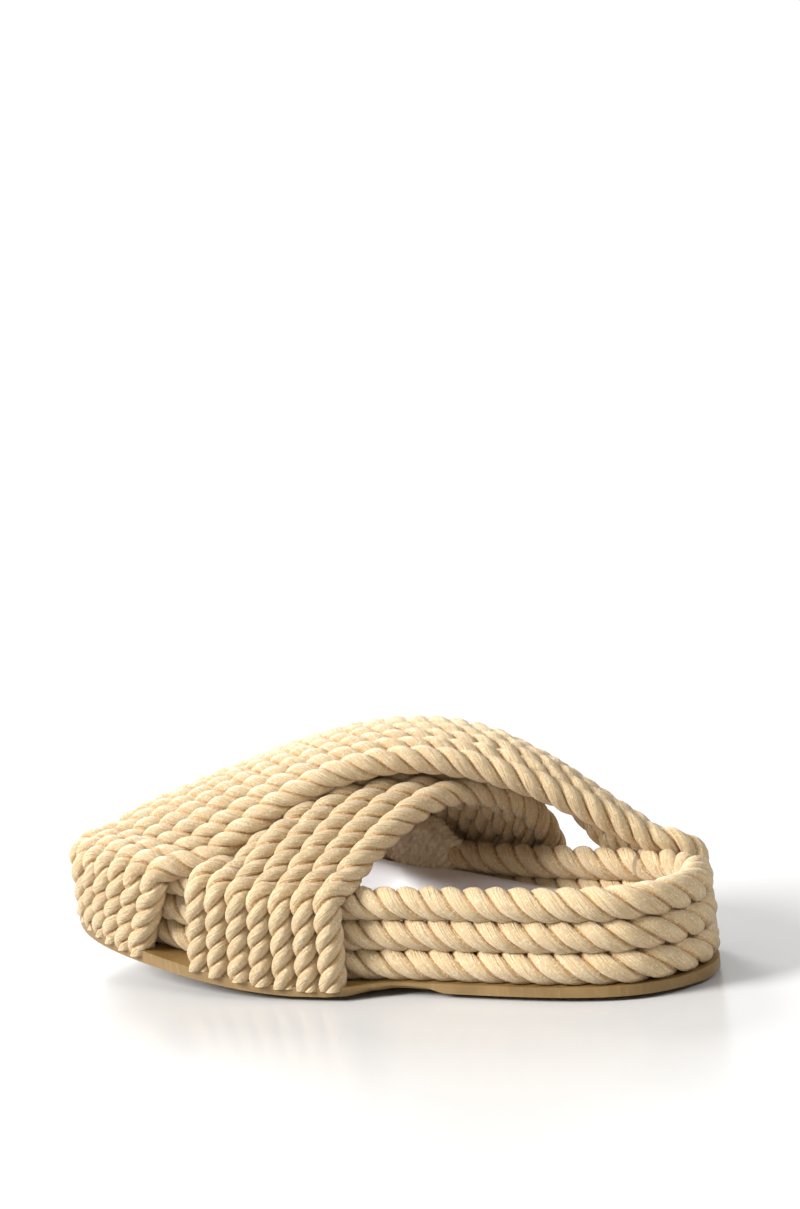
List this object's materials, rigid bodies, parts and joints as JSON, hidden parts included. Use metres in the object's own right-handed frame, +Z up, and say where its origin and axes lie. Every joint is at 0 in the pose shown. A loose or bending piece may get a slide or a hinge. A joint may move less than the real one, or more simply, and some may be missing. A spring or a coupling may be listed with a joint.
{
  "type": "sandal",
  "caption": "Criss-cross rope sandal: two rope bands over a footbed with a stacked rope rim on a rubber outsole.",
  "frame": {"origin": "on the floor under the middle of the sandal's box", "axes": "+Y towards the toe, +Z up, -X the outer side of the left foot"},
  "size_m": [0.1034, 0.2636, 0.0848],
  "materials": {
    "outsole_rubber": "tan moulded rubber, satin",
    "insole_cover": "pale smooth lining over foam",
    "rope": "soft twisted cream rope, slight lustre"
  },
  "bodies": {
    "root": {"outsole": "outsole_rubber", "insole": "insole_cover", "rim_rope_low": "rope", "rim_rope_middle": "rope", "rim_rope_top": "rope", "upper": "rope"}
  },
  "joints": []
}
